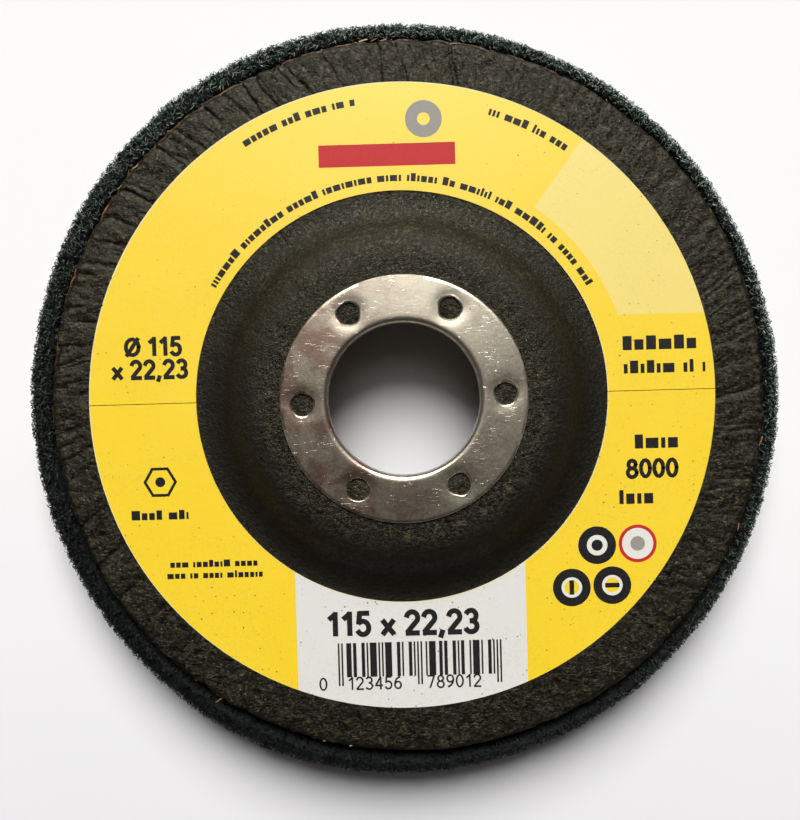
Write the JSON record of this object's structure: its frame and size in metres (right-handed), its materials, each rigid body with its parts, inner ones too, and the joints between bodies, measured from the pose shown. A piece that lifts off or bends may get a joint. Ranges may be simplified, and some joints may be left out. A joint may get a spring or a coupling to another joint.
{
  "type": "non-woven abrasive disc",
  "caption": "Non-woven abrasive disc for an angle grinder, on a depressed-centre glass-fibre backing plate with a steel centre ring and a paper label.",
  "frame": {"origin": "on the bore's axis, at the abrasive's working face, which is the disc's lowest plane", "axes": "+Z along the bore, from the abrasive to the labelled back; +X and +Y across the disc, with the label read upright from +Z when +Y is up"},
  "size_m": [0.115, 0.115, 0.0152],
  "materials": {
    "abrasive_fleece": "coarse matte fibres",
    "adhesive": "matte",
    "cover_fleece": "crinkled, satin",
    "glass_laminate": "woven, satin",
    "ring_steel": "tinned, scratched",
    "label_paper": "coated, semi-gloss"
  },
  "bodies": {
    "root": {"front_web": "abrasive_fleece", "middle_web": "abrasive_fleece", "back_web": "abrasive_fleece", "adhesive_bed": "adhesive", "front_cover_fleece": "cover_fleece", "glass_ply_1": "glass_laminate", "glass_ply_2": "glass_laminate", "glass_ply_3": "glass_laminate", "glass_ply_4": "glass_laminate", "back_cover_fleece": "cover_fleece", "centre_ring": "ring_steel", "label_upper_half": "label_paper", "label_lower_half": "label_paper"}
  },
  "joints": []
}
